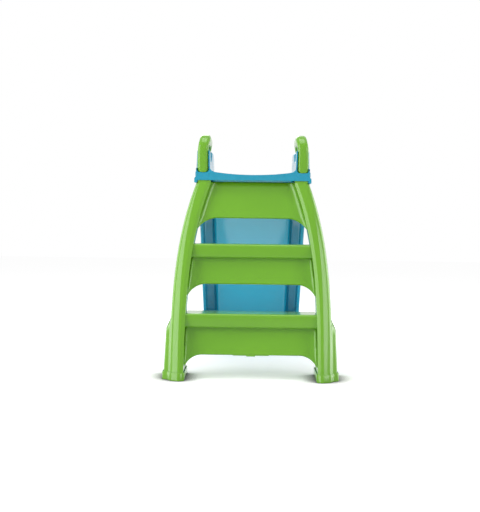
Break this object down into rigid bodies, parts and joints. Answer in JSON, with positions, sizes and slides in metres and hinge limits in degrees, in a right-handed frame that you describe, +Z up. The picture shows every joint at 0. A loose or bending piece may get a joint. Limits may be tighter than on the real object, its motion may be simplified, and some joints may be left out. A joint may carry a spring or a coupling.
{
  "type": "toddler slide",
  "caption": "Small folding slide: a moulded chute with grip loops, and a bowed two-step ladder that turns under it on side pins.",
  "frame": {"origin": "on the floor, under the centre of the whole slide's bounding box", "axes": "+Y from the ladder towards the exit of the chute, +Z up, +X to the right of a child sliding down"},
  "size_m": [0.4876, 0.9812, 0.686],
  "materials": {
    "chute_plastic": "glossy moulded",
    "ladder_plastic": "glossy moulded",
    "screw_steel": "zinc plated",
    "spring_steel": "bright wire"
  },
  "bodies": {
    "chute_body": {"chute": "chute_plastic", "left_grip_loop": "ladder_plastic", "right_grip_loop": "ladder_plastic", "left_loop_screws": "screw_steel", "right_loop_screws": "screw_steel", "left_hinge_pin": "chute_plastic", "right_hinge_pin": "chute_plastic"},
    "ladder_body": {"left_leg": "ladder_plastic", "right_leg": "ladder_plastic", "header": "ladder_plastic", "upper_step": "ladder_plastic", "lower_step": "ladder_plastic", "left_step_screws": "screw_steel", "right_step_screws": "screw_steel", "left_foot_cap": "ladder_plastic", "right_foot_cap": "ladder_plastic", "left_lock_spring": "spring_steel", "right_lock_spring": "spring_steel"},
    "left_button_body": {"left_lock_button": "ladder_plastic"},
    "right_button_body": {"right_lock_button": "ladder_plastic"}
  },
  "joints": [
    {"name": "ladder_fold", "type": "hinge", "parent": "chute_body", "child": "ladder_body", "pos_m": [0, -0.262, 0.5725], "axis": [1, 0, 0], "range_deg": [0, 55], "deforming": ["left_lock_button", "right_lock_button"]},
    {"name": "left_button_press", "type": "slide", "parent": "ladder_body", "child": "left_button_body", "axis": [1, 0, 0], "range_m": [0, 0.007], "stiffness_N_per_m": 400, "springref_m": -0.004, "deforming": ["left_lock_spring"]},
    {"name": "right_button_press", "type": "slide", "parent": "ladder_body", "child": "right_button_body", "axis": [-1, 0, 0], "range_m": [0, 0.007], "stiffness_N_per_m": 400, "springref_m": -0.004, "deforming": ["right_lock_spring"]}
  ]
}
